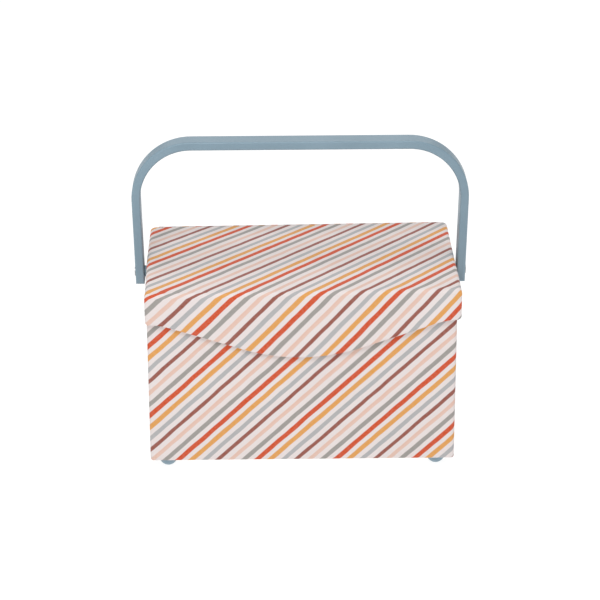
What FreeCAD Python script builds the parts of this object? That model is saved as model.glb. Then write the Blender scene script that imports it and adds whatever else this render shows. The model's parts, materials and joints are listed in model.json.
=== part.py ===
"""Cloth-covered sewing box with a hinged lid, a curved front flap, a bail handle and a lift-out tray.

The frame has +Z up and -Y to the front. The origin is on the floor, below the middle of the box.
All sizes are in millimetres.
"""
import FreeCAD, Part
import math
import os
import re
import Sketcher

# Driving dimensions
DIMS = {
    # Overall
    "lid_width": 260.0,
    "lid_depth": 162.0,
    "box_height": 153.8,
    "lid_overhang": 2.5,
    # Cloth and boards of the body
    "cover_cloth": 1.0,
    "lining_cloth": 1.0,
    "wall_board": 2.5,
    "corner_radius": 3.0,
    "corner_margin": 0.2,
    "base_thickness": 3.0,
    "floor_pad": 1.5,
    # Feet
    "foot_height": 8.5,
    "foot_radius": 8.5,
    "foot_flat": 4.0,
    "foot_inset": 14.5,
    "foot_stem_radius": 2.5,
    "foot_stem_cover": 0.5,
    # Lid
    "lid_board_thickness": 2.5,
    "lid_wadding_thickness": 3.0,
    "lid_edge_radius": 3.0,
    "rim_gap": 0.3,
    "lid_lining_card": 1.2,
    "lid_lining_gap": 2.5,
    # Flap
    "flap_board_thickness": 2.0,
    "flap_gap": 0.6,
    "fold_gap": 0.3,
    "flap_end_drop": 26.5,
    "flap_centre_drop": 57.3,
    "flap_straight": 65.55,
    "flap_end_radius": 60.0,
    "magnet_radius": 5.0,
    "magnet_thickness": 1.2,
    "magnet_margin": 6.3,
    # Handle
    "handle_rise": 104.0,
    "handle_side_gap": 3.7,
    "handle_thickness": 7.2,
    "handle_depth": 18.2,
    "handle_corner": 50.0,
    "handle_lean": 1.3,
    "handle_edge_radius": 1.4,
    "leg_tail": 8.6,
    # Handle pivots
    "bush_headroom": 0.7,
    "stud_radius": 2.0,
    "stud_clearance": 0.06,
    "stud_head_radius": 4.0,
    "stud_head_height": 0.6,
    "stud_tail_radius": 3.0,
    "stud_tail_height": 0.8,
    "bush_radius": 4.8,
    "pivot_play": 0.3,
    "washer_radius": 4.0,
    "washer_thickness": 1.0,
    # Tray and its ledges
    "ledge_thickness": 5.0,
    "tray_drop": 37.2,
    "tray_height": 30.0,
    "tray_wall": 1.6,
    "tray_divider": 1.4,
    "tray_corner": 5.0,
    "tray_pocket_corner": 4.0,
    "tray_ledge_gap": 1.0,
    "tray_lip": 1.6,
    "tray_lip_gap": 2.4,
    "tray_row_depth": 62.0,
    # Inside of the lid
    "cushion_width": 66.0,
    "cushion_depth": 66.0,
    "cushion_height": 14.0,
    "cushion_edge_radius": 6.0,
    "cushion_margin": 17.5,
    "pocket_margin": 14.5,
    "pocket_cushion_gap": 23.0,
    "pocket_depth": 84.0,
    "pocket_bulge": 9.0,
    "pocket_cloth": 1.0,
    "pocket_corner": 6.0,
    "elastic_width": 6.0,
    "elastic_thickness": 1.2,
}

# Places worked out from the driving dimensions, in the order in which they depend on each other
PLACES = {
    # Heights
    "base_low_z": "foot_height + cover_cloth",
    "base_top_z": "base_low_z + base_thickness",
    "pad_top_z": "base_top_z + floor_pad",
    "top_z": "foot_height + box_height",
    "lid_thickness": "2 * cover_cloth + lid_board_thickness + lid_wadding_thickness",
    "lid_under_z": "top_z - lid_thickness",
    "rim_z": "lid_under_z - rim_gap",
    "board_top_z": "rim_z - cover_cloth",
    "lid_board_low_z": "lid_under_z + cover_cloth",
    "lid_board_top_z": "lid_board_low_z + lid_board_thickness",
    "wadding_top_z": "top_z - cover_cloth",
    "lining_card_low_z": "lid_under_z - lid_lining_card",
    "pivot_z": "lid_under_z - bush_headroom - bush_radius",
    "leg_end_z": "pivot_z - leg_tail",
    "handle_top_z": "top_z + handle_rise",
    "magnet_z": "top_z - flap_centre_drop + magnet_margin + magnet_radius",
    "tray_top_z": "lid_under_z - tray_drop",
    "ledge_top_z": "tray_top_z - tray_lip",
    "tray_low_z": "tray_top_z - tray_height",
    # Depths, front to back
    "front_y": "-lid_depth / 2",
    "back_y": "lid_depth / 2",
    "flap_board_y": "front_y + cover_cloth",
    "flap_lining_y": "flap_board_y + flap_board_thickness",
    "flap_back_y": "flap_lining_y + lining_cloth",
    "body_front_y": "flap_back_y + flap_gap",
    "board_front_y": "body_front_y + cover_cloth",
    "lining_front_y": "board_front_y + wall_board",
    "inner_front_y": "lining_front_y + lining_cloth",
    "board_back_y": "back_y - cover_cloth",
    "lining_back_y": "board_back_y - wall_board",
    "inner_back_y": "lining_back_y - lining_cloth",
    "body_mid_y": "(body_front_y + back_y) / 2",
    "roll_radius": "lid_thickness / 2",
    "fold_y": "front_y + roll_radius",
    "hinge_y": "back_y - roll_radius",
    "fold_z": "top_z - roll_radius",
    # Half widths
    "lid_x": "lid_width / 2",
    "lid_core_x": "lid_x - cover_cloth",
    "body_x": "lid_x - lid_overhang",
    "board_x": "body_x - cover_cloth",
    "lining_x": "board_x - wall_board",
    "inner_x": "lining_x - lining_cloth",
    "board_corner": "min(corner_radius - cover_cloth; wall_board - corner_margin)",
    "foot_x": "body_x - foot_inset",
    "foot_front_y": "body_front_y + foot_inset",
    "foot_back_y": "back_y - foot_inset",
    "stem_top_z": "base_top_z - foot_stem_cover",
    "foot_arc_radius": "((foot_radius - foot_flat)^2 + foot_height^2) / (2 * (foot_radius - foot_flat))",
    # Handle, seen from the front
    "handle_x": "lid_x + handle_side_gap + handle_thickness",
    "bend_x": "handle_x - handle_corner",
    "bend_z": "handle_top_z - handle_corner",
    "bend_inner": "handle_corner - handle_thickness",
    "leg_pivot_x": "bend_x + handle_corner / cos(handle_lean) - tan(handle_lean) * (bend_z - pivot_z)",
    "leg_inner_x": "leg_pivot_x - handle_thickness / cos(handle_lean)",
    "bush_low_x": "body_x + pivot_play",
    "bush_high_x": "leg_inner_x - pivot_play",
    "head_x": "leg_pivot_x + pivot_play",
    "washer_x": "inner_x - washer_thickness",
    "tail_high_x": "washer_x - stud_clearance",
    "stud_bore": "stud_radius + stud_clearance",
    # Flap outline: a centre arc and two end arcs joined by tangent lines
    "flap_fall": "flap_centre_drop - flap_end_drop",
    "flap_radii": "(lid_x^2 + flap_fall^2 - flap_straight^2) / (2 * flap_fall)",
    "flap_centre_radius": "flap_radii - flap_end_radius",
    "flap_slope": "atan(lid_x / (flap_radii - flap_fall)) - atan(flap_straight / flap_radii)",
    "flap_centre_z": "top_z - flap_centre_drop + flap_centre_radius",
    "flap_end_z": "top_z - flap_end_drop - flap_end_radius",
    # Tray
    "ledge_x": "inner_x - ledge_thickness",
    "tray_x": "ledge_x - tray_ledge_gap",
    "tray_lip_x": "inner_x - tray_lip_gap",
    "tray_front_y": "inner_front_y + tray_lip_gap",
    "tray_back_y": "inner_back_y - tray_lip_gap",
    "tray_inner_x": "tray_x - tray_wall",
    "tray_inner_front_y": "tray_front_y + tray_wall",
    "tray_inner_back_y": "tray_back_y - tray_wall",
    "tray_floor_z": "tray_low_z + tray_wall",
    "tray_row_y": "tray_inner_front_y + tray_row_depth",
    # Inside of the lid
    "card_x": "inner_x - lid_lining_gap",
    "card_front_y": "inner_front_y + lid_lining_gap",
    "card_back_y": "inner_back_y - lid_lining_gap",
    "card_mid_y": "(card_front_y + card_back_y) / 2",
    "cushion_high_x": "card_x - cushion_margin",
    "cushion_low_x": "cushion_high_x - cushion_width",
    "pocket_low_x": "pocket_margin - card_x",
    "pocket_high_x": "cushion_low_x - pocket_cushion_gap",
    "cushion_low_z": "lining_card_low_z - cushion_height",
    "pocket_low_z": "lining_card_low_z - pocket_bulge",
    "pocket_mouth_y": "card_mid_y - pocket_depth / 2",
    "pocket_end_y": "card_mid_y + pocket_depth / 2",
}

# How far a cutting tool reaches past the piece it cuts
OVERCUT = 5.0
# Places, and the tips of unit directions, that are closer than this count as the same
NEAR = 0.01
WORD = re.compile(r"[a-z]\w*")

doc = FreeCAD.newDocument("SewingBox")
dims = doc.addObject("Spreadsheet::Sheet", "Dims")
places = doc.addObject("Spreadsheet::Sheet", "Places")
work_cell = f"D{len(PLACES)}"
nodes = []


def in_places(formula):
    """The formula as a cell of the Places sheet, which reads the other sheet by its name."""
    return "=" + WORD.sub(lambda found: f"Dims.{found[0]}" if found[0] in DIMS else found[0], str(formula))


def bound(formula):
    """The formula as an expression of any other object."""
    def cell(found):
        name = found[0]
        if name in DIMS:
            return f"Dims.{name}"
        return f"Places.{name}" if name in PLACES else name
    return WORD.sub(cell, str(formula))


def fill_sheets():
    """Writes the driving dimensions and the places that follow from them."""
    for row, (name, value) in enumerate(DIMS.items(), start=1):
        dims.set(f"A{row}", name)
        dims.set(f"B{row}", str(value))
        dims.setAlias(f"B{row}", name)
    doc.recompute()
    for row, (name, formula) in enumerate(PLACES.items(), start=1):
        places.set(f"A{row}", name)
        places.set(f"B{row}", in_places(formula))
        places.setAlias(f"B{row}", name)
    doc.recompute()


def size(formula):
    """A formula worked out to a plain number."""
    places.set(work_cell, in_places(formula))
    places.recompute()
    value = places.get(work_cell)
    return float(getattr(value, "Value", value))


def node(piece, label):
    """Names a finished piece."""
    piece.Label = label
    nodes.append(piece)


def block(name, x_range, y_range, z_range):
    """A box between pairs of formulas."""
    box = doc.addObject("Part::Box", name)
    spans = (("Length", "x", x_range), ("Width", "y", y_range), ("Height", "z", z_range))
    for side, axis, (low, high) in spans:
        box.setExpression(side, bound(f"({high}) - ({low})"))
        box.setExpression(f"Placement.Base.{axis}", bound(low))
    return box


def rod(name, axis, span, centre, radius):
    """A round bar along an axis between two formulas; centre gives the other two coordinates in order."""
    bar = doc.addObject("Part::Cylinder", name)
    bar.setExpression("Radius", bound(radius))
    bar.setExpression("Height", bound(f"({span[1]}) - ({span[0]})"))
    bar.Placement.Rotation = {
        "x": FreeCAD.Rotation(FreeCAD.Vector(0, 1, 0), 90),
        "y": FreeCAD.Rotation(FreeCAD.Vector(1, 0, 0), -90),
        "z": FreeCAD.Rotation(),
    }[axis]
    others = iter(centre)
    for along in "xyz":
        bar.setExpression(f"Placement.Base.{along}", bound(span[0] if along == axis else next(others)))
    return bar


def fused(name, pieces):
    """Several solids joined into one."""
    joined = doc.addObject("Part::MultiFuse", name)
    joined.Shapes = pieces
    return joined


def cut(name, base, tools):
    """A solid with other solids taken away."""
    result = doc.addObject("Part::Cut", name)
    result.Base = base
    result.Tool = tools[0] if len(tools) == 1 else fused(name + "_tools", tools)
    return result


def rounded(name, base, radius, picks):
    """A solid with the picked edges rounded."""
    doc.recompute()
    result = doc.addObject("Part::Fillet", name)
    result.Base = base
    reach = size(radius)
    numbered = enumerate(base.Shape.Edges, start=1)
    result.Edges = [(number, reach, reach) for number, edge in numbered if picks(edge)]
    return result


def runs_along(edge, direction):
    """True for a straight edge that is parallel to the direction."""
    if not isinstance(edge.Curve, Part.Line):
        return False
    return edge.tangentAt(edge.FirstParameter).cross(direction).Length < NEAR


def upright(edge):
    return runs_along(edge, FreeCAD.Vector(0, 0, 1))


def front_to_back(edge):
    return runs_along(edge, FreeCAD.Vector(0, 1, 0))


def rounded_block(name, x_range, y_range, z_range, radius):
    """A box with its upright edges rounded."""
    return rounded(name, block(name + "_blank", x_range, y_range, z_range), radius, upright)


def both(half):
    """The range of a width that is centred on the box."""
    return (f"-({half})", half)


def outline(sketch, points, bends):
    """Draws a closed outline through points given as formulas, each one fixed to its place.

    bends gives some segments a radius formula and a side: 1 turns anticlockwise along the outline,
    -1 clockwise.
    """
    spots = [FreeCAD.Vector(size(x), size(y), 0) for x, y in points]
    ends = []
    for index, start in enumerate(spots):
        finish = spots[(index + 1) % len(spots)]
        if index not in bends:
            ends.append((sketch.addGeometry(Part.LineSegment(start, finish), False), 1, 2))
            continue
        formula, side = bends[index]
        radius = size(formula)
        half = (finish - start) * 0.5
        across = FreeCAD.Vector(-half.y, half.x, 0).normalize()
        centre = start + half + across * (side * math.sqrt(max(radius ** 2 - half.Length ** 2, 0.0)))
        first, last = (start, finish) if side > 0 else (finish, start)
        angles = [math.atan2(spot.y - centre.y, spot.x - centre.x) for spot in (first, last)]
        circle = Part.Circle(centre, FreeCAD.Vector(0, 0, 1), radius)
        arc = sketch.addGeometry(Part.ArcOfCircle(circle, *angles), False)
        ends.append((arc, 1, 2) if side > 0 else (arc, 2, 1))
        bend = sketch.addConstraint(Sketcher.Constraint("Radius", arc, radius))
        sketch.setExpression(f"Constraints[{bend}]", bound(formula))
    for index, (x, y) in enumerate(points):
        line, start, _ = ends[index]
        before, _, finish = ends[index - 1]
        sketch.addConstraint(Sketcher.Constraint("Coincident", before, finish, line, start))
        for kind, formula, value in (("DistanceX", x, spots[index].x), ("DistanceY", y, spots[index].y)):
            fixed = sketch.addConstraint(Sketcher.Constraint(kind, -1, 1, line, start, value))
            sketch.setExpression(f"Constraints[{fixed}]", bound(formula))


def outlined_body(name, points, bends):
    """A body with a closed outline drawn on its upright XZ plane."""
    body = doc.addObject("PartDesign::Body", name)
    sketch = body.newObject("Sketcher::SketchObject", name + "_outline")
    plane = next(item for item in body.Origin.OriginFeatures if item.Role == "XZ_Plane")
    sketch.AttachmentSupport = [(plane, "")]
    sketch.MapMode = "FlatFace"
    outline(sketch, points, bends)
    return body, sketch


def make_body():
    """The boards, the cloth outside and inside, the floor pad and the tray's ledges."""
    walls_z = ("base_low_z", "board_top_z")
    whole_y = ("board_front_y", "board_back_y")
    between_y = ("lining_front_y", "lining_back_y")
    inside_y = ("inner_front_y", "inner_back_y")

    front_side = {"front": ("board_front_y", "lining_front_y"), "back": ("lining_back_y", "board_back_y")}
    for side, y_range in front_side.items():
        outer = size("board_front_y") if side == "front" else size("board_back_y")
        blank = block(f"{side}_board_blank", both("board_x"), y_range, walls_z)
        panel = rounded(f"{side}_board_panel", blank, "board_corner",
                        lambda edge: upright(edge) and abs(edge.Vertexes[0].Y - outer) < NEAR)
        if side == "front":
            recess = rod("catch_recess", "y", ("board_front_y", "board_front_y + magnet_thickness"),
                         ("0", "magnet_z"), "magnet_radius")
            panel = cut("front_board_panel_cut", panel, [recess])
        node(panel, f"{side}_board")
    node(rod("catch", "y", ("board_front_y", "board_front_y + magnet_thickness"), ("0", "magnet_z"),
             "magnet_radius"), "catch_plate")

    pivot = ("body_mid_y", "pivot_z")
    for side, x_range in {"left": ("-board_x", "-lining_x"), "right": ("lining_x", "board_x")}.items():
        panel = block(f"{side}_board_blank", x_range, between_y, walls_z)
        node(cut(f"{side}_board_panel", panel, [rod(f"{side}_board_bore", "x", x_range, pivot, "stud_bore")]),
             f"{side}_board")

    stems = [rod(f"stem_hole_{index}", "z", ("foot_height", "base_top_z"), place, "foot_stem_radius")
             for index, (_, place) in enumerate(foot_places())]
    base = block("base_blank", both("lining_x"), between_y, ("base_low_z", "base_top_z"))
    node(cut("base", base, stems), "base_board")
    under = rounded_block("base_cloth", both("board_x"), whole_y, ("foot_height", "base_low_z"),
                          "board_corner")
    node(cut("base_cloth_cut", under, stems), "base_cover")

    across = rod("pivot_bore", "x", both("body_x"), pivot, "stud_bore")
    wrap = rounded_block("wrap", both("body_x"), ("body_front_y", "back_y"), ("foot_height", "rim_z"),
                         "corner_radius")
    carcass = rounded_block("carcass", both("board_x"), whole_y, ("foot_height", "board_top_z"),
                            "board_corner")
    mouth = block("mouth", both("inner_x"), inside_y, ("board_top_z", f"rim_z + {OVERCUT}"))
    node(cut("wrap_cut", wrap, [carcass, mouth, across]), "body_cover")

    lining = block("lining_blank", both("lining_x"), between_y, ("base_top_z", "board_top_z"))
    hollow = block("hollow", both("inner_x"), inside_y, ("base_top_z", "board_top_z"))
    node(cut("lining", lining, [hollow, across]), "body_lining")
    node(block("pad", both("inner_x"), inside_y, ("base_top_z", "pad_top_z")), "floor_pad")
    for side, x_range in {"left": ("-inner_x", "-ledge_x"), "right": ("ledge_x", "inner_x")}.items():
        node(block(f"{side}_ledge", x_range, inside_y, ("pad_top_z", "ledge_top_z")), f"tray_ledge_{side}")


def foot_places():
    """The name and the middle of each foot."""
    rows = {"front": "foot_front_y", "back": "foot_back_y"}
    sides = {"left": "-foot_x", "right": "foot_x"}
    return [(f"{row}_{side}", (x, y)) for row, y in rows.items() for side, x in sides.items()]


def make_feet():
    """Moulded domes, flat where they stand, with stems that go up into the base board."""
    points = [("0", "0"), ("foot_flat", "0"), ("foot_radius", "foot_height"),
              ("foot_stem_radius", "foot_height"), ("foot_stem_radius", "stem_top_z"), ("0", "stem_top_z")]
    for name, (x, y) in foot_places():
        body, sketch = outlined_body(f"foot_{name}_body", points, {1: ("foot_arc_radius", 1)})
        turned = body.newObject("PartDesign::Revolution", f"foot_{name}_dome")
        turned.Profile = sketch
        turned.ReferenceAxis = (sketch, ["V_Axis"])
        turned.Angle = 360.0
        body.setExpression("Placement.Base.x", bound(x))
        body.setExpression("Placement.Base.y", bound(y))
        node(body, f"foot_{name}")


def make_lid():
    """The padded lid between its two rolled cloth edges, and what is sewn inside it."""
    lid_y = ("fold_y", "hinge_y")
    lid_top = size("top_z")
    outer = block("lid_blank", both("lid_x"), lid_y, ("lid_under_z", "top_z"))
    skin = rounded("lid_skin", outer, "lid_edge_radius",
                   lambda edge: front_to_back(edge) and edge.Vertexes[0].Z > lid_top - NEAR)
    pad_top = size("wadding_top_z")

    def padding(name, low):
        blank = block(name + "_blank", both("lid_core_x"), lid_y, (low, "wadding_top_z"))
        return rounded(name, blank, "lid_edge_radius - cover_cloth",
                       lambda edge: front_to_back(edge) and edge.Vertexes[0].Z > pad_top - NEAR)

    node(cut("lid_wrap", skin, [padding("lid_core", "lid_board_low_z")]), "lid_cover")
    node(padding("lid_pad", "lid_board_top_z"), "lid_wadding")
    node(block("lid_panel", both("lid_core_x"), lid_y, ("lid_board_low_z", "lid_board_top_z")), "lid_board")

    rolls = {"rear_hinge_cloth": ("hinge_y", ("hinge_y - roll_radius", "hinge_y")),
             "front_fold_cloth": ("fold_y", ("fold_y", "fold_y + roll_radius"))}
    for label, (axis_y, away) in rolls.items():
        roll = rod(label + "_round", "x", both("lid_x"), (axis_y, "fold_z"), "roll_radius")
        inner_half = block(label + "_away", both("lid_x"), away, ("lid_under_z", "top_z"))
        node(cut(label + "_half", roll, [inner_half]), label)

    node(block("card", both("card_x"), ("card_front_y", "card_back_y"), ("lining_card_low_z", "lid_under_z")),
         "lid_lining")
    make_pincushion()
    make_pocket()


def make_pincushion():
    """A stuffed square pad, rounded everywhere but where it is sewn to the lid lining."""
    sewn = size("lining_card_low_z")
    x_range = ("cushion_low_x", "cushion_high_x")
    y_range = ("card_mid_y - cushion_depth / 2", "card_mid_y + cushion_depth / 2")
    blank = block("cushion_blank", x_range, y_range, ("cushion_low_z", "lining_card_low_z"))
    node(rounded("cushion", blank, "cushion_edge_radius",
                 lambda edge: min(spot.Z for spot in edge.Vertexes) < sewn - NEAR), "pincushion")


def make_pocket():
    """A pouch on the lid lining, open towards the lid's front edge, with an elastic round its mouth."""
    x_range = ("pocket_low_x", "pocket_high_x")
    inner_x = ("pocket_low_x + pocket_cloth", "pocket_high_x - pocket_cloth")
    outer_end, outer_low = "pocket_end_y", "pocket_low_z"
    inner_end, inner_low = f"{outer_end} - pocket_cloth", f"{outer_low} + pocket_cloth"

    def closed_edges(end, low):
        """Picks the edges of the closed end and of the bulging face, but not those of the mouth."""
        end_y, low_z = size(end), size(low)

        def picks(edge):
            at_low = all(abs(spot.Z - low_z) < NEAR for spot in edge.Vertexes)
            at_end = all(abs(spot.Y - end_y) < NEAR for spot in edge.Vertexes)
            return at_low and (at_end or front_to_back(edge))
        return picks

    outer = block("pouch_blank", x_range, ("pocket_mouth_y", outer_end), (outer_low, "lining_card_low_z"))
    shell = rounded("pouch", outer, "pocket_corner", closed_edges(outer_end, outer_low))
    hollow = block("pouch_hollow_blank", inner_x, (f"pocket_mouth_y - {OVERCUT}", inner_end),
                   (inner_low, f"lining_card_low_z + {OVERCUT}"))
    room = rounded("pouch_hollow", hollow, "pocket_corner - pocket_cloth", closed_edges(inner_end, inner_low))
    node(cut("pouch_cut", shell, [room]), "lid_pocket")
    flat_x = ("pocket_low_x + pocket_corner", "pocket_high_x - pocket_corner")
    node(block("elastic", flat_x, ("pocket_mouth_y", "pocket_mouth_y + elastic_width"),
               ("pocket_low_z - elastic_thickness", "pocket_low_z")), "pocket_elastic")


def flap_panel(name, inset, y_range):
    """A flat piece with the flap's curved outline, drawn in by an inset on its free edges."""
    side_x = f"lid_x - {inset}"
    side_z = f"flap_end_z + sqrt((flap_end_radius + {inset})^2 - ({inset})^2)"
    slope_x = f"lid_x - (flap_end_radius + {inset}) * sin(flap_slope)"
    slope_z = f"flap_end_z + (flap_end_radius + {inset}) * cos(flap_slope)"
    centre_x = f"(flap_centre_radius - {inset}) * sin(flap_slope)"
    centre_z = f"flap_centre_z - (flap_centre_radius - {inset}) * cos(flap_slope)"
    left = [(f"-({x})", z) for x, z in ((side_x, side_z), (slope_x, slope_z), (centre_x, centre_z))]
    right = [(centre_x, centre_z), (slope_x, slope_z), (side_x, side_z)]
    points = left + right + [(side_x, "fold_z"), (f"-({side_x})", "fold_z")]
    end_bend = (f"flap_end_radius + {inset}", -1)
    bends = {0: end_bend, 2: (f"flap_centre_radius - {inset}", 1), 4: end_bend}
    body, sketch = outlined_body(name, points, bends)
    pad = body.newObject("PartDesign::Pad", name + "_pad")
    pad.Profile = sketch
    pad.setExpression("Length", bound(f"({y_range[1]}) - ({y_range[0]})"))
    body.setExpression("Placement.Base.y", bound(y_range[1]))
    return body


def make_flap():
    """The flap's board between its cover and its lining, hollowed along the top to turn round the fold."""
    def seat(name):
        return rod(name, "x", both("lid_x"), ("fold_y", "fold_z"), "roll_radius + fold_gap")

    board_y = ("flap_board_y", "flap_lining_y")
    magnet_y = ("flap_lining_y - magnet_thickness", "flap_lining_y")
    skin = flap_panel("flap_skin", "0", ("front_y", "flap_lining_y"))
    core = flap_panel("flap_core", "cover_cloth", board_y)
    node(cut("flap_skin_cut", skin, [core, seat("flap_skin_seat")]), "flap_cover")
    board = flap_panel("flap_panel", "cover_cloth", board_y)
    recess = rod("magnet_recess", "y", magnet_y, ("0", "magnet_z"), "magnet_radius")
    node(cut("flap_panel_cut", board, [recess, seat("flap_panel_seat")]), "flap_board")
    node(rod("magnet", "y", magnet_y, ("0", "magnet_z"), "magnet_radius"), "flap_magnet")
    inner = flap_panel("flap_inner", "0", ("flap_lining_y", "flap_back_y"))
    node(cut("flap_inner_cut", inner, [seat("flap_inner_seat")]), "flap_lining")


def make_handle():
    """The flat-section bail: two legs that lean out a little and a bar, joined by round bends."""
    def leg_x(z, radius):
        return f"bend_x + {radius} / cos(handle_lean) - tan(handle_lean) * (bend_z - {z})"

    def bend_start(radius):
        return (f"bend_x + {radius} * cos(handle_lean)", f"bend_z - {radius} * sin(handle_lean)")

    def half(radius):
        foot = (leg_x("leg_end_z", radius), "leg_end_z")
        return [foot, bend_start(radius), ("bend_x", f"bend_z + {radius}")]

    def mirrored(points):
        return [(f"-({x})", z) for x, z in reversed(points)]

    outer = half("handle_corner")
    inner = half("bend_inner")
    points = outer + mirrored(outer) + [(f"-({x})", z) for x, z in inner] + list(reversed(inner))
    bends = {1: ("handle_corner", 1), 3: ("handle_corner", 1), 7: ("bend_inner", -1), 9: ("bend_inner", -1)}
    body, sketch = outlined_body("bail", points, bends)
    pad = body.newObject("PartDesign::Pad", "bail_pad")
    pad.Profile = sketch
    pad.setExpression("Length", bound("handle_depth"))
    body.setExpression("Placement.Base.y", bound("body_mid_y + handle_depth / 2"))
    faces = [size("body_mid_y - handle_depth / 2"), size("body_mid_y + handle_depth / 2")]

    def on_a_face(edge):
        return any(all(abs(spot.Y - face) < NEAR for spot in edge.Vertexes) for face in faces)

    soft = rounded("bail_soft", body, "handle_edge_radius", on_a_face)
    bore = rod("bail_bore", "x", both("handle_x"), ("body_mid_y", "pivot_z"), "stud_bore")
    node(cut("bail_cut", soft, [bore]), "handle")


def make_pivots():
    """On each side a headed stud through the leg, a spacer bush and the wall, with a washer inside."""
    pivot = ("body_mid_y", "pivot_z")
    tail_low = "tail_high_x - stud_tail_height"

    def on_side(side, low, high):
        return (f"-({high})", f"-({low})") if side == "left" else (low, high)

    def side_rod(name, side, low, high, radius):
        return rod(f"{name}_{side}_rod", "x", on_side(side, low, high), pivot, radius)

    for side in ("left", "right"):
        shank = side_rod("shank", side, tail_low, "head_x + stud_head_height", "stud_radius")
        head = side_rod("head", side, "head_x", "head_x + stud_head_height", "stud_head_radius")
        tail = side_rod("tail", side, tail_low, "tail_high_x", "stud_tail_radius")
        node(fused(f"stud_{side}", [shank, head, tail]), f"pivot_stud_{side}")
        bush = side_rod("bush", side, "bush_low_x", "bush_high_x", "bush_radius")
        bush_bore = side_rod("bush_bore", side, "bush_low_x", "bush_high_x", "stud_radius")
        node(cut(f"bush_{side}", bush, [bush_bore]), f"pivot_bush_{side}")
        washer = side_rod("washer", side, "washer_x", "inner_x", "washer_radius")
        washer_bore = side_rod("washer_bore", side, "washer_x", "inner_x", "stud_bore")
        node(cut(f"washer_{side}", washer, [washer_bore]), f"pivot_washer_{side}")


def make_tray():
    """A moulded tray that hangs by its lip on two ledges: a front row of three pockets, and two behind."""
    tray_y = ("tray_front_y", "tray_back_y")
    tub = rounded_block("tub", both("tray_x"), tray_y, ("tray_low_z", "tray_top_z"), "tray_corner")
    lip = rounded_block("lip", both("tray_lip_x"), tray_y, ("ledge_top_z", "tray_top_z"), "tray_corner")
    third = "(2 * tray_inner_x - 2 * tray_divider) / 3"
    front_y = ("tray_inner_front_y", "tray_row_y")
    back_y = ("tray_row_y + tray_divider", "tray_inner_back_y")
    first = f"-tray_inner_x + {third}"
    last = f"tray_inner_x - {third}"
    pockets = {
        "front_left": (("-tray_inner_x", first), front_y),
        "front_middle": ((f"{first} + tray_divider", f"{last} - tray_divider"), front_y),
        "front_right": ((last, "tray_inner_x"), front_y),
        "back_left": (("-tray_inner_x", first), back_y),
        "back_right": ((f"{first} + tray_divider", "tray_inner_x"), back_y),
    }
    hollows = [rounded_block(f"tray_{name}", x_range, y_range, ("tray_floor_z", f"tray_top_z + {OVERCUT}"),
                             "tray_pocket_corner") for name, (x_range, y_range) in pockets.items()]
    node(cut("tray_cut", fused("tray_blank", [tub, lip]), hollows), "tray")


def check():
    """Stops if any object failed or any piece has no sound solid."""
    doc.recompute()
    for item in doc.Objects:
        if "Invalid" in item.State or "Error" in item.State:
            raise RuntimeError(f"{item.Name} ({item.Label}) failed")
    for piece in nodes:
        shape = piece.Shape
        if shape.isNull() or not shape.isValid() or not shape.Solids:
            raise RuntimeError(f"{piece.Label} has no sound solid")


def write():
    """Writes each piece to its own file."""
    os.makedirs("parts", exist_ok=True)
    for piece in nodes:
        piece.Shape.exportStep(f"parts/{piece.Label}.step")


fill_sheets()
make_body()
make_feet()
make_lid()
make_flap()
make_handle()
make_pivots()
make_tray()
check()
write()
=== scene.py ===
import json
import math

import bmesh
import bpy
from mathutils import Matrix, Vector


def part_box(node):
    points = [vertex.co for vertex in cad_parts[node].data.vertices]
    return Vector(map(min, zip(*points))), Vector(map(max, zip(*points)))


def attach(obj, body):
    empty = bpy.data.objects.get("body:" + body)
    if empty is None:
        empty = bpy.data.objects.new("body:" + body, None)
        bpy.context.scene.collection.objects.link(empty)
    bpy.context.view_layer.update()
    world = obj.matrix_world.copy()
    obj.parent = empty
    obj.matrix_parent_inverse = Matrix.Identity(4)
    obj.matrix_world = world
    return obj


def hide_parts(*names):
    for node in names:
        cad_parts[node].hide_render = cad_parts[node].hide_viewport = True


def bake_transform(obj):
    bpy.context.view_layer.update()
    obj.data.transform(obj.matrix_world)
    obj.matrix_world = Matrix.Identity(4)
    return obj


# The looks of the sewing box: its cloth covers and linings, the pocket and the pincushion in the lid, and
# the floor, light and camera of the photograph. Lengths are in metres in the solids' frame.

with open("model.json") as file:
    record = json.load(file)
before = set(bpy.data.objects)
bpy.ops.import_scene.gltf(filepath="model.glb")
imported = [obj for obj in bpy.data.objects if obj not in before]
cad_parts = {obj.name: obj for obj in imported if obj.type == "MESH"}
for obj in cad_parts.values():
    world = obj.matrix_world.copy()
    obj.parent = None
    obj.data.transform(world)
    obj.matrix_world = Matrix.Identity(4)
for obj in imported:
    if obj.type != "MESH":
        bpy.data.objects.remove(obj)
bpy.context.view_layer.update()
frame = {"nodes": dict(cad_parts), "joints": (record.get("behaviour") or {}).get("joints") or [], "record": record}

MM = 0.001


# Small helpers

def lerp(start, end, share):
    return start + (end - start) * share


def smooth(start, end, value):
    """0 before start and 1 after end, with a soft run between; start may be the larger one."""
    share = min(1.0, max(0.0, (value - start) / (end - start)))
    return share * share * (3 - 2 * share)


def spread(low, high, count):
    """count + 1 even values from low to high."""
    return [lerp(low, high, i / count) for i in range(count + 1)]


def fine_ends(low, high, step, ends):
    """Values from low to high about step apart, with closer ones at the given distances from both ends."""
    near = [low + e for e in ends]
    far = [high - e for e in reversed(ends)]
    count = max(1, round((far[0] - near[-1]) / step))
    return near[:-1] + spread(near[-1], far[0], count) + far[1:]


def linear(red, green, blue):
    """A screen colour of 0 to 255 as the linear colour that a shader takes."""
    parts = [c / 255 for c in (red, green, blue)]
    return tuple(c / 12.92 if c <= 0.04045 else ((c + 0.055) / 1.055) ** 2.4 for c in parts) + (1.0,)


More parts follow.
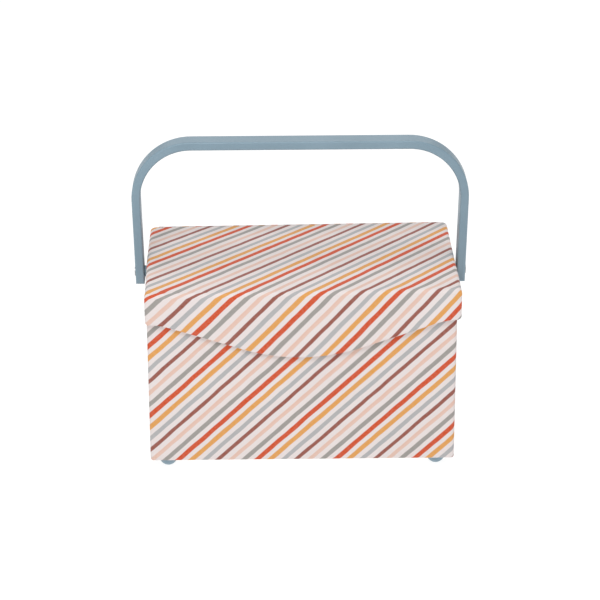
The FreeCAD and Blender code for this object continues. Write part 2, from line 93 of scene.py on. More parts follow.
def add_piece(name, points, faces, coords=None):
    """A smooth mesh piece; coords are the flat cloth coordinates of its points."""
    mesh = bpy.data.meshes.new(name)
    mesh.from_pydata([tuple(p) for p in points], [], faces)
    if coords:
        layer = mesh.uv_layers.new(name="cloth")
        for loop in mesh.loops:
            layer.data[loop.index].uv = coords[loop.vertex_index]
    made = bmesh.new()
    made.from_mesh(mesh)
    bmesh.ops.remove_doubles(made, verts=made.verts, dist=0.005 * MM)
    bmesh.ops.dissolve_degenerate(made, edges=made.edges, dist=0.001 * MM)
    for face in made.faces:
        face.smooth = True
    made.to_mesh(mesh)
    made.free()
    piece = bpy.data.objects.new(name, mesh)
    bpy.context.scene.collection.objects.link(piece)
    return piece


def apply_modifiers(piece):
    shown = piece.evaluated_get(bpy.context.evaluated_depsgraph_get())
    mesh = bpy.data.meshes.new_from_object(shown)
    piece.modifiers.clear()
    old, piece.data = piece.data, mesh
    bpy.data.meshes.remove(old)
    mesh.name = piece.name


def thicken(piece, thickness):
    """Gives a sheet its thickness, on the inner side."""
    made = piece.modifiers.new("thickness", "SOLIDIFY")
    made.thickness = thickness
    made.offset = -1.0
    made.use_even_offset = True
    made.use_quality_normals = True
    made.thickness_clamp = 0.5
    apply_modifiers(piece)


def subdivide(piece, levels):
    fine = piece.modifiers.new("fine", "SUBSURF")
    fine.levels = fine.render_levels = levels
    apply_modifiers(piece)


def grid_faces(rows, columns, turned=False):
    """The faces of a grid whose points are listed row by row; a turned grid faces the other way."""
    starts = [j * columns + i for j in range(rows - 1) for i in range(columns - 1)]
    if turned:
        return [(k, k + columns, k + columns + 1, k + 1) for k in starts]
    return [(k, k + 1, k + columns + 1, k + columns) for k in starts]


def lengths_along(line):
    """The way along a line of points from its first one to each of them."""
    walked = [0.0]
    for a, b in zip(line, line[1:]):
        walked.append(walked[-1] + (b - a).length)
    return walked


# Materials

NOISE_LOW, NOISE_HIGH = 0.3, 0.7        # most of a noise texture lies between these
WAVE_PERIOD = 2 * math.pi / 20          # the period of a wave texture of scale 1


class Shader:
    """One material's node tree, with a principled shader to build on."""

    def __init__(self, name):
        self.material = bpy.data.materials.new(name)
        self.material.use_nodes = True
        self.tree = self.material.node_tree
        self.tree.nodes.clear()
        output = self.tree.nodes.new("ShaderNodeOutputMaterial")
        self.surface = self.tree.nodes.new("ShaderNodeBsdfPrincipled")
        self.tree.links.new(self.surface.outputs[0], output.inputs["Surface"])

    def add(self, kind, inputs=None, **settings):
        """A node; each input is a number, a colour or another node's socket."""
        made = self.tree.nodes.new(kind)
        for key, value in settings.items():
            setattr(made, key, value)
        for key, value in (inputs or {}).items():
            self.put(made.inputs[key], value)
        return made

    def put(self, socket, value):
        if isinstance(value, bpy.types.NodeSocket):
            self.tree.links.new(value, socket)
        else:
            socket.default_value = value

    def set(self, **inputs):
        for key, value in inputs.items():
            self.put(self.surface.inputs[key.replace("_", " ").title().replace("Ior", "IOR")], value)

    def cloth(self):
        return self.add("ShaderNodeUVMap", uv_map="cloth").outputs["UV"]

    def place(self):
        return self.add("ShaderNodeTexCoord").outputs["Object"]

    def mapped(self, vector, scale=(1, 1, 1), turn=0.0):
        made = self.add("ShaderNodeMapping", {"Vector": vector, "Scale": scale, "Rotation": (0, 0, turn)})
        return made.outputs["Vector"]

    def noise(self, vector, size, detail=2.0, roughness=0.5):
        """Soft noise from 0 to 1 whose spots are about size metres wide."""
        made = self.add("ShaderNodeTexNoise", {"Vector": vector, "Scale": 1 / size, "Detail": detail,
                                               "Roughness": roughness})
        return made.outputs["Fac"]

    def math(self, operation, first, second=0.0, third=0.0):
        made = self.tree.nodes.new("ShaderNodeMath")
        made.operation = operation
        for socket, value in zip(made.inputs, (first, second, third)):
            self.put(socket, value)
        return made.outputs[0]

    def range(self, value, low, high):
        """Noise spread over low to high."""
        made = self.add("ShaderNodeMapRange", {"Value": value, "From Min": NOISE_LOW, "From Max": NOISE_HIGH,
                                               "To Min": low, "To Max": high})
        return made.outputs["Result"]

    def mix(self, share, first, second, blend="MIX"):
        made = self.add("ShaderNodeMix", data_type="RGBA", blend_type=blend)
        for socket, value in zip((made.inputs[0], made.inputs[6], made.inputs[7]), (share, first, second)):
            self.put(socket, value)
        return made.outputs[2]

    def bump(self, height, distance, strength=1.0, below=None):
        inputs = {"Height": height, "Distance": distance, "Strength": strength}
        if below is not None:
            inputs["Normal"] = below
        return self.add("ShaderNodeBump", inputs).outputs["Normal"]

    def weave(self, vector, thread, turn=0.0):
        """The height of a plain weave with that thread width."""
        wave_scale = WAVE_PERIOD / (2 * thread)
        turned = self.mapped(vector, turn=turn)
        threads = [self.add("ShaderNodeTexWave", {"Vector": turned, "Scale": wave_scale, "Distortion": 0.6,
                                                  "Detail Scale": 0.02},
                            bands_direction=direction).outputs["Fac"] for direction in "XY"]
        return self.math("MAXIMUM", *threads)


STRIPE_PERIOD = 45.53 * MM      # across one run of six stripes
STRIPE_EDGE = 0.011             # soft edge of a stripe, as a share of the run
STRIPE_WOBBLE = 0.030           # how far a stripe wavers, as a share of the run
STRIPES = (                     # middle and width as shares of the run, colour
    (0.1025, 0.080, (160, 156, 151)),
    (0.2690, 0.088, (212, 76, 22)),
    (0.4360, 0.086, (230, 162, 82)),
    (0.6025, 0.078, (181, 181, 182)),
    (0.7690, 0.070, (152, 84, 70)),
    (0.9360, 0.074, (232, 196, 180)),
)
GROUND = (236, 226, 224)


def striped_cotton():
    """Printed cotton: the cloth coordinates run across the stripes first and along them second."""
    shader = Shader("striped_cotton")
    cloth = shader.cloth()
    split = shader.add("ShaderNodeSeparateXYZ", {"Vector": cloth})
    wobble = shader.noise(shader.mapped(cloth, (1, 0.6, 1)), 13 * MM, 2.0)
    across = shader.math("MULTIPLY_ADD", wobble, STRIPE_WOBBLE, -STRIPE_WOBBLE / 2)
    phase = shader.math("MULTIPLY_ADD", split.outputs["X"], 1 / STRIPE_PERIOD, across)
    ramp = shader.add("ShaderNodeValToRGB", {"Fac": shader.math("FRACT", phase)})
    stops = ramp.color_ramp.elements
    stops[0].position, stops[0].color = 0.0, linear(*GROUND)
    stops[1].position, stops[1].color = 1.0, linear(*GROUND)
    for middle, width, colour in STRIPES:
        for side in (-1, 1):
            for shift, shade in ((0.5, GROUND), (-0.5, colour)):
                stop = stops.new(middle + side * (width / 2 + shift * STRIPE_EDGE))
                stop.color = linear(*shade)
    ink = shader.noise(cloth, 2.2 * MM, 3.0, 0.6)
    inked = shader.mix(shader.range(ink, 0.0, 0.10), ramp.outputs["Color"], linear(*GROUND))
    shade = shader.range(shader.noise(cloth, 45 * MM, 2.0), 0.97, 1.0)
    tone = shader.add("ShaderNodeCombineColor", {"Red": shade, "Green": shade, "Blue": shade})
    shader.set(base_color=shader.mix(1.0, inked, tone.outputs["Color"], "MULTIPLY"))
    shader.set(roughness=shader.range(ink, 0.80, 0.92), sheen_weight=0.12, sheen_roughness=0.5,
               specular_ior_level=0.25)
    creases = shader.bump(shader.noise(cloth, 18 * MM, 2.0), 0.5 * MM, 0.25)
    shader.set(normal=shader.bump(shader.weave(cloth, 0.32 * MM, math.pi / 4), 0.04 * MM, 0.18, creases))
    return shader.material


def plain_cotton(name, colour, second, thread=0.3 * MM):
    """Woven cotton with two thread tones and a little slub."""
    shader = Shader(name)
    cloth = shader.cloth()
    weave = shader.weave(cloth, thread)
    slub = shader.noise(shader.mapped(cloth, (1, 0.08, 1)), 1.4 * MM, 2.0)
    tone = shader.mix(shader.range(slub, 0.0, 0.5), linear(*colour), linear(*second))
    patches = shader.range(shader.noise(cloth, 40 * MM), 0.0, 0.25)
    shader.set(base_color=shader.mix(patches, tone, linear(*second)))
    shader.set(roughness=shader.range(slub, 0.82, 0.95), sheen_weight=0.12, sheen_roughness=0.5,
               specular_ior_level=0.25)
    shader.set(normal=shader.bump(weave, 0.06 * MM, 0.8))
    return shader.material


def satin_plastic(name, colour, second, roughness=0.40):
    """Moulded plastic with a very fine grain and faint handling marks."""
    shader = Shader(name)
    place = shader.place()
    cloud = shader.noise(place, 30 * MM, 3.0)
    shader.set(base_color=shader.mix(shader.range(cloud, 0.0, 1.0), linear(*colour), linear(*second)))
    marks = shader.noise(shader.mapped(place, (1, 1, 0.15)), 2.5 * MM, 4.0, 0.65)
    shader.set(roughness=shader.range(marks, roughness - 0.05, roughness + 0.07), specular_ior_level=0.45)
    grain = shader.noise(place, 0.35 * MM, 2.0)
    shader.set(normal=shader.bump(grain, 0.02 * MM, 0.35))
    return shader.material


def steel(name, colour, roughness):
    """Plated steel, lightly brushed."""
    shader = Shader(name)
    place = shader.place()
    brushed = shader.noise(shader.mapped(place, (0.06, 1, 1)), 0.3 * MM, 3.0)
    dull = shader.noise(place, 4 * MM, 3.0)
    shader.set(metallic=1.0, base_color=shader.mix(shader.range(dull, 0.0, 0.35), linear(*colour),
                                                   linear(*[0.7 * c for c in colour])))
    shader.set(roughness=shader.range(brushed, roughness, roughness + 0.15))
    shader.set(normal=shader.bump(brushed, 0.01 * MM, 0.4))
    return shader.material


def grey_board(name):
    """Pressed grey board with flecks of fibre."""
    shader = Shader(name)
    place = shader.place()
    fibre = shader.noise(place, 1.2 * MM, 5.0, 0.7)
    tone = shader.mix(shader.range(fibre, 0.0, 1.0), linear(168, 163, 155), linear(198, 193, 184))
    shader.set(base_color=tone, roughness=shader.range(fibre, 0.88, 0.97))
    shader.set(normal=shader.bump(fibre, 0.08 * MM, 0.5))
    return shader.material


def tray_plastic(name):
    """Frosted moulded plastic that lets light through."""
    shader = Shader(name)
    place = shader.place()
    cloud = shader.noise(place, 25 * MM, 2.0)
    tone = shader.mix(shader.range(cloud, 0.0, 1.0), linear(240, 242, 243), linear(246, 247, 246))
    frost = shader.range(shader.noise(place, 1.5 * MM, 3.0), 0.34, 0.46)
    shader.set(base_color=tone, roughness=frost, transmission_weight=0.18, ior=1.46)
    shader.set(normal=shader.bump(shader.noise(place, 0.4 * MM), 0.02 * MM, 0.3))
    return shader.material


HANDLE_TONES = ((128, 152, 166), (134, 158, 172))
looks = {
    "striped_cotton": striped_cotton(),
    "lining_cotton": plain_cotton("lining_cotton", (236, 231, 222), (222, 215, 203)),
    "greyboard": grey_board("greyboard"),
    "wadding": plain_cotton("wadding", (242, 241, 236), (232, 230, 224)),
    "cushion_cloth": plain_cotton("cushion_cloth", (140, 162, 174), (121, 145, 159)),
    "elastic": plain_cotton("elastic", (236, 232, 224), (212, 206, 196)),
    "handle_plastic": satin_plastic("handle_plastic", *HANDLE_TONES),
    "tray_plastic": tray_plastic("tray_plastic"),
    "stud_steel": steel("stud_steel", (176, 178, 180), 0.30),
    "magnet_steel": steel("magnet_steel", (150, 150, 154), 0.35),
}
for subpart in frame["record"]["subparts"]:
    cad_mesh = frame["nodes"][subpart["node"]].data
    cad_mesh.materials.clear()
    cad_mesh.materials.append(looks[subpart["material_slot"]])


def finish_piece(piece, slot):
    """Gives a piece the material of its slot."""
    piece.data.materials.clear()
    piece.data.materials.append(looks[slot])


# A soft panel: a grid with round corners and rings round its border

def rounded(x, t, columns, rows, corners):
    """Draws the points of a rectangle's corner squares in, so that its corners become round."""
    middle, half = (columns[0] + columns[-1]) / 2, (columns[-1] - columns[0]) / 2
    low = t - rows[0] < rows[-1] - t
    radius = corners[0] if low else corners[1]
    edge, way = (rows[0], -1) if low else (rows[-1], 1)
    side = 1 if x > middle else -1
    u = (abs(x - middle) - (half - radius)) / radius
    v = ((t - edge) * way + radius) / radius
    if u <= 0 or v <= 0:
        return x, t
    across, up = u * math.sqrt(1 - v * v / 2), v * math.sqrt(1 - u * u / 2)
    return middle + side * (half - radius + radius * across), edge + way * (radius * up - radius)


def soft_panel(name, columns, rows, corners, rings, place, coords, shape=None, closed=False):
    """A piece made from a grid and the rings round its border.

    columns and rows are the grid's x and t values, and place(x, t, depth) gives a point of the piece.
    rings(normal, t) lists (offset outward, depth, inset) for each ring; an inset ring is drawn in from
    the border. A closed panel has a second grid behind, with the last ring as its border.
    """
    points, faces, flat = [], [], []

    def settle(x, t):
        return shape(x, t) if shape else (x, t)

    def add(x, t, depth, cloth_x, cloth_t):
        points.append(place(x, t, depth))
        flat.append(coords(cloth_x, cloth_t))
        return len(points) - 1

    wide, tall = len(columns) - 1, len(rows) - 1
    spots = [[settle(*rounded(x, t, columns, rows, corners)) for x in columns] for t in rows]
    front = [[add(x, t, 0.0, x, t) for x, t in line] for line in spots]
    for j in range(tall):
        for i in range(wide):
            faces.append((front[j][i], front[j][i + 1], front[j + 1][i + 1], front[j + 1][i]))
    border = ([(i, 0) for i in range(wide)] + [(wide, j) for j in range(tall)]
              + [(i, tall) for i in range(wide, 0, -1)] + [(0, j) for j in range(tall, 0, -1)])
    count = len(border)
    edge = [Vector(spots[j][i]) for i, j in border]
    ways = [edge[(k + 1) % count] - edge[k - 1] for k in range(count)]
    normals = [Vector((way.y, -way.x)).normalized() for way in ways]
    plans = [rings(normals[k], edge[k].y) for k in range(count)]
    last = [front[j][i] for i, j in border]
    lengths, before = [0.0] * count, [(0.0, 0.0, 0.0)] * count
    for step in range(len(plans[0])):
        ring = []
        for k, (i, j) in enumerate(border):
            offset, depth, inset = plans[k][step]
            lengths[k] += math.dist(before[k], plans[k][step])
            before[k] = plans[k][step]
            if inset:
                x, t = settle(min(max(columns[i], columns[0] + inset), columns[-1] - inset),
                              min(max(rows[j], rows[0] + inset), rows[-1] - inset))
            else:
                x, t = edge[k] + normals[k] * offset
            ring.append(add(x, t, depth, *(edge[k] + normals[k] * lengths[k])))
        faces += [(last[k], ring[k], ring[(k + 1) % count], last[(k + 1) % count]) for k in range(count)]
        last = ring
    if closed:
        depth = plans[0][-1][1]
        back = [[add(x, t, depth, x, t) for x, t in line] for line in spots]
        for k, (i, j) in enumerate(border):
            back[j][i] = last[k]
        for j in range(tall):
            for i in range(wide):
                faces.append((back[j][i], back[j + 1][i], back[j + 1][i + 1], back[j][i + 1]))
    return add_piece(name, points, faces, flat)


ROUND_STEPS = [math.radians(a) for a in (18, 36, 54, 72, 90)]


# The lid and flap cover: one striped cloth over the lid, round the front fold and down the flap

joints = {joint["name"]: joint for joint in frame["joints"]}
CLOTH_THICK = 0.6 * MM
lid_low, lid_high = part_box("lid_cover")
flap_low, flap_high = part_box("flap_cover")
body_low, body_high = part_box("body_cover")
TOP, UNDER = lid_high.z, lid_low.z
LID_HALF = lid_high.x
LID_BACK = body_high.y
FLAP_FACE = flap_low.y
FLAP_REAR = flap_high.y + 0.4 * MM
# t runs along the cloth: on the lid it is y, and from there it goes on round the fold and down the flap.
FOLD_RADIUS = 3.8 * MM
FOLD_START = FLAP_FACE + FOLD_RADIUS
FOLD_END = FOLD_START - FOLD_RADIUS * math.pi / 2
FOLD_FOOT = TOP - FOLD_RADIUS           # z at FOLD_END
# The inner face bends between these two values of t.
INNER_START, INNER_END = FLAP_FACE + 4.4 * MM, FOLD_END - 3.6 * MM
# The place of the flap's lift joint.
BEND_START = Vector(joints["flap_lift"]["pos_m"])
LID_EDGE, LOW_EDGE, FLAP_EDGE = 3.2 * MM, 1.0 * MM, 1.5 * MM
HEM = 11 * MM
CROWN = 0.9 * MM                        # the padding's rise in the middle of the lid
LID_TILT = 0.0108                       # the lid's top and the flap are a little higher on the right
# The lid's top sinks towards its back edge.
BACK_SINK, SINK_BEGINS, SINK_FULL = 0.8 * MM, 20 * MM, 75 * MM
# The cloth's front is drawn to the right, and in at its sides.
SLEW, SLEW_SIDES = 0.95 * MM, 0.45 * MM
SLEW_BEGINS, SLEW_FULL = 15 * MM, -65 * MM
FLAP_DROP, FLAP_END_DROP = TOP - flap_low.z + 0.8 * MM, 27.2 * MM
FLAP_LOW_RADIUS, FLAP_END_RADIUS = 160 * MM, 60 * MM


def flap_bottom(x):
    """The height of the flap's lower edge: a wide arc between two end arcs, joined by straight runs."""
    low_centre = TOP - FLAP_DROP + FLAP_LOW_RADIUS
    end_centre = TOP - FLAP_END_DROP - FLAP_END_RADIUS
    rise = low_centre - end_centre
    apart = math.hypot(LID_HALF, rise)
    slope = math.asin((FLAP_LOW_RADIUS + FLAP_END_RADIUS) / apart) - math.atan2(rise, LID_HALF)
    x = min(abs(x), LID_HALF)
    low_end = FLAP_LOW_RADIUS * math.sin(slope)
    if x <= low_end:
        return low_centre - math.sqrt(FLAP_LOW_RADIUS ** 2 - x * x)
    if x >= LID_HALF - FLAP_END_RADIUS * math.sin(slope):
        return end_centre + math.sqrt(FLAP_END_RADIUS ** 2 - (LID_HALF - x) ** 2)
    return low_centre - FLAP_LOW_RADIUS * math.cos(slope) + (x - low_end) * math.tan(slope)


def cover_outer(t):
    """(y, z) of the cover's outer face."""
    if t >= FOLD_START:
        return Vector((t, TOP))
    if t <= FOLD_END:
        return Vector((FLAP_FACE, FOLD_FOOT + t - FOLD_END))
    turn = (FOLD_START - t) / FOLD_RADIUS
    return Vector((FOLD_START - FOLD_RADIUS * math.sin(turn), FOLD_FOOT + FOLD_RADIUS * math.cos(turn)))


def cover_inner(t):
    """(y, z) of the cover's inner face, below the lid and behind the flap."""
    if t >= INNER_START:
        return Vector((t, UNDER))
    if t <= INNER_END:
        return Vector((FLAP_REAR, FOLD_FOOT + t - FOLD_END))
    share = (INNER_START - t) / (INNER_START - INNER_END)
    start, corner = Vector((INNER_START, UNDER)), Vector((FLAP_REAR, UNDER))
    end = Vector((FLAP_REAR, FOLD_FOOT + INNER_END - FOLD_END))
    return start.lerp(corner, share).lerp(corner.lerp(end, share), share)


def lid_lift(x, t):
    """How far the tilt and the sunken back edge raise the lid's top."""
    return LID_TILT * x - BACK_SINK * smooth(SINK_BEGINS, SINK_FULL, t)


def cover_place(x, t, depth):
    """The point of the cover at x and t, that far below its outer face."""
    outer, inner = cover_outer(t), cover_inner(t)
    thick = (inner - outer).length
    share = depth / thick
    y, z = outer + (inner - outer) * share
    lid_middle, lid_reach = (FOLD_START + LID_BACK) / 2, (LID_BACK - FOLD_START) / 2
    raised = max(0.0, 1 - (x / LID_HALF) ** 2) * max(0.0, 1 - ((t - lid_middle) / lid_reach) ** 2)
    held = 1 - min(1.0, share) * (1 - smooth(FOLD_START, INNER_END, t))
    return Vector((x, y, z + CROWN * raised * (1 - share) + lid_lift(x, t) * held))


# The print is drawn to the right in the middle, and loses BOW_FALL of that at BOW_REACH from BOW_MIDDLE.
PRINT_BOW, BOW_FALL = 2.9 * MM, 4.45 * MM
BOW_MIDDLE, BOW_REACH = 2 * MM, 110 * MM
STRIPE_DRIFT = 2.56                     # how far the print is drawn back where the lid is raised, per rise
# One run of stripes measured along x and along t, and how many runs the print is moved by.
LID_RUN, LID_PHASE = (64.87 * MM, 74.63 * MM), 0.576
FLAP_RUN, FLAP_PHASE = (66.99 * MM, 70.56 * MM), -2.842


def cover_coords(x, t):
    """Where a point of the cover lies on the flat cloth: the stripes run on over the fold."""
    print_x = x - PRINT_BOW + BOW_FALL * ((x - BOW_MIDDLE) / BOW_REACH) ** 2
    lid_phase, flap_phase = FOLD_START / LID_RUN[1] + LID_PHASE, FOLD_FOOT / FLAP_RUN[1] + FLAP_PHASE
    fold = min(1.0, max(0.0, (FOLD_START - t) / (FOLD_START - FOLD_END)))
    phase = lerp(lid_phase, flap_phase, fold) - print_x / lerp(LID_RUN[0], FLAP_RUN[0], fold)
    phase += max(0.0, t - FOLD_START) / LID_RUN[1] + min(0.0, t - FOLD_END) / FLAP_RUN[1]
    phase += STRIPE_DRIFT * lid_lift(x, t) * smooth(FOLD_END, FOLD_START + 8 * MM, t) / LID_RUN[1]
    return phase * STRIPE_PERIOD, (x + t) * math.sqrt(0.5)


def cover_rings(normal, t):
    """Round the cover's edge, down its side and under to the hem."""
    thick = (cover_inner(t) - cover_outer(t)).length
    back, foot = max(0.0, normal.y) ** 2, max(0.0, -normal.y) ** 2
    flap = smooth(FOLD_START, FOLD_END, t)
    reach = lerp(lerp(LID_EDGE, thick / 2, back), FLAP_EDGE, foot)
    top = lerp(lerp(LID_EDGE, thick / 2, back), FLAP_EDGE, flap)
    low = lerp(LOW_EDGE, thick / 2, back)
    upper = [(reach * math.sin(a), top * (1 - math.cos(a)), 0.0) for a in ROUND_STEPS]
    side = [(reach, lerp(top, thick - low, 0.5), 0.0), (reach, thick - low, 0.0)]
    lower = [(reach - low * (1 - math.cos(a)), thick - low * (1 - math.sin(a)), 0.0)
             for a in ROUND_STEPS[1::2]]
    hem = [(reach - low, thick, 0.0), (0.0, thick, HEM / 2), (0.0, thick, HEM)]
    return upper + side + lower + hem


def make_cover():
    half = LID_HALF - LID_EDGE
    ends = [0.0, 0.6 * MM, 1.2 * MM, 2 * MM]
    end_drop = FOLD_FOOT - (TOP - FLAP_END_DROP) - FLAP_EDGE
    foot, back = FOLD_END - end_drop, LID_BACK - (TOP - UNDER) / 2
    flap_rows = [foot + e for e in ends] + spread(foot + 3.5 * MM, FOLD_END, 12)[:-1]
    lid_rows = spread(FOLD_START, back - 3 * MM, 32)[1:] + [back - e for e in reversed(ends)]
    rows = flap_rows + spread(FOLD_END, FOLD_START, 12) + lid_rows

    def shape(x, t):
        slewed = x + (SLEW - SLEW_SIDES * x / half) * smooth(SLEW_BEGINS, SLEW_FULL, t)
        if t >= FOLD_END:
            return slewed, t
        drop = FOLD_FOOT - flap_bottom(x * LID_HALF / half) - FLAP_EDGE
        return slewed, FOLD_END + (t - FOLD_END) * drop / end_drop

    piece = soft_panel("lid_flap_cover", fine_ends(-half, half, 3.6 * MM, ends), rows, (1.6 * MM, 2 * MM),
                       cover_rings, cover_place, cover_coords, shape)
    thicken(piece, CLOTH_THICK)
    finish_piece(piece, "striped_cotton")
    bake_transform(piece)
    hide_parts("lid_cover", "lid_wadding", "lid_board", "front_fold_cloth", "flap_cover",
                "flap_board")


make_cover()


# The body's cover: one striped cloth round the four walls, over the rim and under the base

BODY_CORNER = 3 * MM
BODY_RUN = (66.33 * MM, 62.61 * MM)     # one run of stripes measured along and up the body
BODY_SHIFT = 0.6 * MM                   # how far the print is moved to the right
WALL = 4.7 * MM                         # from the outside to the hem inside
RIM_ROUND, FOOT_ROUND = 1.3 * MM, 2.2 * MM
TURN_UNDER, HEM_INSIDE = 5 * MM, 9 * MM
BODY_SWELL, SWELL_RUN = 0.5 * MM, 25 * MM       # the swell of each wall, full this far from its ends
FRONT_AND_BACK = 70 * MM                # points with a larger y, either way, are on the front or the back
LAP = 6 * MM                            # half the overlap of the cloth's two ends, in the back's middle
# The overlap's rise, and the share of it that stays under the hinge strip and at the hem.
LAP_RISE, LAP_LEAST = 0.5 * MM, 0.25
HINGE_FALL = 24 * MM                    # how far the hinge strip runs down the back


def wall_loop(inset):
    """(x, y) points round the body, from the lap in the back by the left, front and right, at an inset."""
    half, front, back = body_high.x - inset, body_low.y + inset, body_high.y - inset
    radius = max(0.3 * MM, BODY_CORNER - inset)
    arc = [math.radians(a) for a in (15, 30, 45, 60, 75)]
    corners = (((-half, back), (1, -1), 90), ((-half, front), (1, 1), 180), ((half, front), (-1, 1), 270),
               ((half, back), (-1, -1), 0))
    loop = [Vector((x, back)) for x in spread(LAP, -half + radius, 34)]
    runs = (40, 66, 40, 34)
    for (corner, way, first), run, following in zip(corners, runs, (1, 2, 3, None)):
        centre = Vector(corner) + Vector(way) * radius
        turn = math.radians(first)
        loop += [centre + radius * Vector((math.cos(turn + a), math.sin(turn + a))) for a in arc]
        start = centre + radius * Vector((math.cos(turn + math.pi / 2), math.sin(turn + math.pi / 2)))
        if following is None:
            end = Vector((-LAP, back))
        else:
            ahead, sense, angle = corners[following]
            end = (Vector(ahead) + Vector(sense) * radius
                   + radius * Vector((math.cos(math.radians(angle)), math.sin(math.radians(angle)))))
        loop += [start.lerp(end, i / run) for i in range(run + 1)]
    return loop


def wall_rows():
    """(inset, z) of the wrap's rows: the hem inside, the rim, the wall and the turn under the base."""
    z_low, z_rim, rim, foot = body_low.z, body_high.z, RIM_ROUND, FOOT_ROUND
    rows = [(WALL, z_rim - HEM_INSIDE), (WALL, z_rim - HEM_INSIDE / 2)]
    rows += [(WALL - rim * (1 - math.cos(a)), z_rim - rim * (1 - math.sin(a))) for a in [0.0] + ROUND_STEPS]
    rows += [(rim * (1 - math.sin(a)), z_rim - rim * (1 - math.cos(a))) for a in [0.0] + ROUND_STEPS]
    rows += [(0.0, z) for z in spread(z_rim - rim, z_low + foot, 30)[1:]]
    rows += [(foot * (1 - math.cos(a)), z_low + foot * (1 - math.sin(a))) for a in ROUND_STEPS]
    return rows + [(foot + TURN_UNDER / 2, z_low), (foot + TURN_UNDER, z_low)]


def wall_swell(spot, z):
    """How far the cloth of a wall stands out."""
    if abs(spot.y) > FRONT_AND_BACK:
        from_end = body_high.x - abs(spot.x)
    else:
        from_end = min(spot.y - body_low.y, body_high.y - spot.y)
    share = (z - body_low.z) / (body_high.z - body_low.z)
    return BODY_SWELL * math.sin(math.pi * share) ** 0.7 * smooth(0, SWELL_RUN, from_end)


def wall_side(spot):
    """The way that the wall faces."""
    if abs(spot.y) > FRONT_AND_BACK and abs(spot.x) < body_high.x - BODY_CORNER:
        return Vector((0, math.copysign(1, spot.y)))
    if abs(spot.x) > body_high.x - BODY_CORNER - WALL:
        return Vector((math.copysign(1, spot.x), 0))
    return Vector((0, 0))


def make_body():
    rows, outer = wall_rows(), wall_loop(0.0)
    walked = lengths_along(outer)
    middle = min(range(len(outer)), key=lambda k: abs(outer[k].x) + abs(outer[k].y - body_low.y))
    around = [w - walked[middle] + outer[middle].x for w in walked]
    lap_start, strip_end = around[-1] - 2 * LAP, body_high.z - HINGE_FALL
    up = body_high.z + (WALL - 2 * RIM_ROUND) + HEM_INSIDE + RIM_ROUND * (math.pi / 2 - 1) * 2
    points, flat = [], []
    for k, (inset, z) in enumerate(rows):
        if k:
            up -= math.dist(rows[k - 1], (inset, z))
        for spot, s in zip(wall_loop(inset), around):
            out = wall_swell(spot, z) if inset == 0.0 else 0.0
            if z > body_low.z + FOOT_ROUND:
                lap = LAP_RISE * smooth(lap_start - 0.2 * LAP, lap_start, s)
                out += lap * lerp(LAP_LEAST, 1.0, smooth(strip_end + 2 * MM, strip_end - 8 * MM, z))
            shifted = spot + wall_side(spot) * out
            points.append((shifted.x, shifted.y, z))
            phase = (s - BODY_SHIFT) / BODY_RUN[0] - up / BODY_RUN[1]
            flat.append((phase * STRIPE_PERIOD, (s + up) * math.sqrt(0.5)))
    faces = grid_faces(len(rows), len(outer), turned=True)
    piece = add_piece("body_wrap", points, faces, flat)
    thicken(piece, CLOTH_THICK)
    finish_piece(piece, "striped_cotton")
    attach(piece, "box")
    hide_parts("body_cover")


make_body()


# The rear hinge: a striped strip over the lid's rolled back edge and down the back of the body

STRIP_THICK, STRIP_GAP = 0.4 * MM, 0.15 * MM       # the gap is to the lid and the body below
STRIP_MARGIN = 4.5 * MM                            # from the body's sides
STRIP_WRAP = math.radians(50)                      # how far it goes round the lid's edge


def thin_rings(thick, edge):
    """The rings of a closed panel with that thickness and round edges."""
    top = [(edge * math.sin(a), edge * (1 - math.cos(a)), 0.0) for a in ROUND_STEPS[1::2]]
    low = [(edge * math.sin(a), thick - edge * (1 - math.cos(a)), 0.0) for a in reversed(ROUND_STEPS[1::2])]
    plan = top + [(edge, edge, 0.0), (edge, thick - edge, 0.0)] + low + [(0.0, thick, 0.0)]
    return lambda normal, t: plan


def strip_coords(x, t):
    """Where a point of the strip lies on the flat cloth, whose stripes slant as on the body."""
    phase = x / BODY_RUN[0] - t / BODY_RUN[1]
    return phase * STRIPE_PERIOD, (x + t) * math.sqrt(0.5)


def make_hinge():
    axis = Vector(joints["lid_open"]["pos_m"])
    roll = LID_BACK - axis.y
    half, wrap = body_high.x - STRIP_MARGIN, STRIP_WRAP

    def place(x, t, depth):
        out = STRIP_GAP + STRIP_THICK - depth
        turn = max(0.0, t) / roll
        tilt = lid_lift(-x, LID_BACK) * (1 + math.sin(turn)) / 2 * smooth(-8 * MM, 0.0, t)
        return Vector((-x, axis.y + (roll + out) * math.cos(turn),
                       axis.z + (roll + out) * math.sin(turn) + min(0.0, t) + tilt))

    ends = [0.0, 0.7 * MM, 1.4 * MM]
    rows = fine_ends(-HINGE_FALL, -1 * MM, 2 * MM, ends[:2]) + spread(0.0, roll * wrap, 8)
    piece = soft_panel("rear_hinge_strip", fine_ends(-half, half, 4 * MM, ends), rows, (1 * MM, 1 * MM),
                       thin_rings(STRIP_THICK, 0.18 * MM), place, strip_coords, closed=True)
    finish_piece(piece, "striped_cotton")
    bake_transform(piece)
    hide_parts("rear_hinge_cloth")


make_hinge()


# Linings

def plain_coords(x, t):
    return x, t


